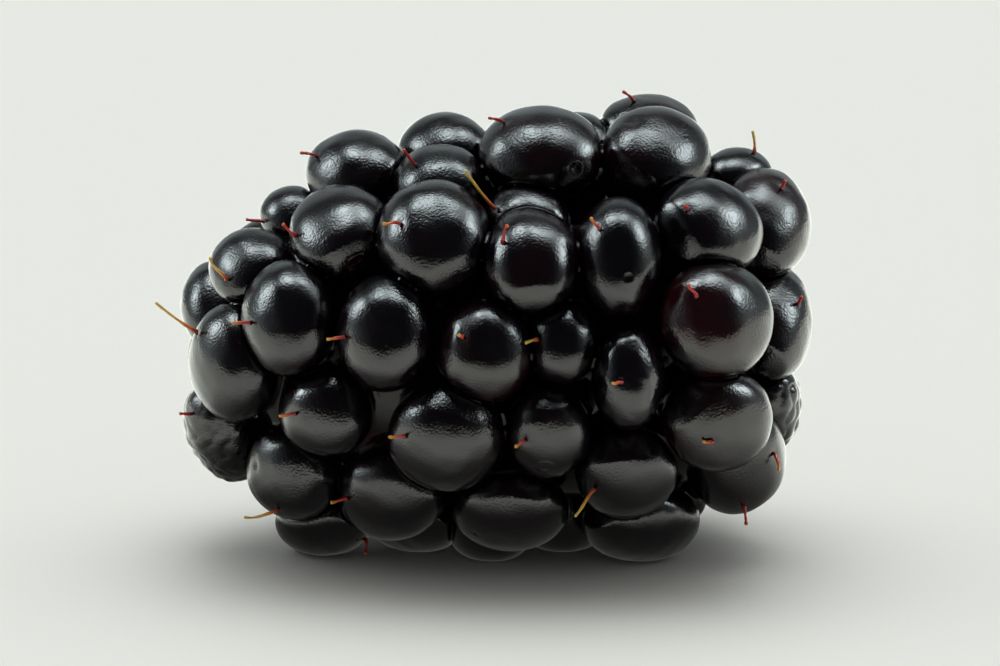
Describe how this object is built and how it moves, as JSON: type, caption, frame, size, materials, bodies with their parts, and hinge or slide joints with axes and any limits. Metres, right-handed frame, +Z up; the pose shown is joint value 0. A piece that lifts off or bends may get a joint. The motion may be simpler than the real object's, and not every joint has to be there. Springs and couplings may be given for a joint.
{
  "type": "bramble berry",
  "caption": "Ripe bramble berry lying on its side: fused round glossy black drupelets in a barrel that narrows to its apex, with thin dried styles standing on them.",
  "frame": {"origin": "on the surface that the berry lies on, under the middle of its box", "axes": "+X along the berry from its narrow apex to its stem end, -Y towards its near side, +Z up"},
  "size_m": [0.0317, 0.023, 0.0221],
  "materials": {
    "ripe_skin": "gloss",
    "dried_style": "matte"
  },
  "bodies": {
    "root": {"berry": "ripe_skin", "style_01": "dried_style", "style_02": "dried_style", "style_03": "dried_style", "style_04": "dried_style", "style_05": "dried_style", "style_06": "dried_style", "style_07": "dried_style", "style_08": "dried_style", "style_09": "dried_style", "style_10": "dried_style", "style_11": "dried_style", "style_12": "dried_style", "style_13": "dried_style", "style_14": "dried_style", "style_15": "dried_style", "style_16": "dried_style", "style_17": "dried_style", "style_18": "dried_style", "style_19": "dried_style", "style_20": "dried_style", "style_21": "dried_style", "style_22": "dried_style", "style_23": "dried_style", "style_24": "dried_style", "style_25": "dried_style", "style_26": "dried_style", "style_27": "dried_style", "style_28": "dried_style", "style_29": "dried_style", "style_30": "dried_style", "style_31": "dried_style", "style_32": "dried_style", "style_33": "dried_style", "style_34": "dried_style", "style_35": "dried_style", "style_36": "dried_style", "style_37": "dried_style", "style_38": "dried_style", "style_39": "dried_style", "style_40": "dried_style", "style_41": "dried_style", "style_42": "dried_style", "style_43": "dried_style", "style_44": "dried_style", "style_45": "dried_style", "style_46": "dried_style", "style_47": "dried_style", "style_48": "dried_style", "style_49": "dried_style", "style_50": "dried_style", "style_51": "dried_style"}
  },
  "joints": []
}
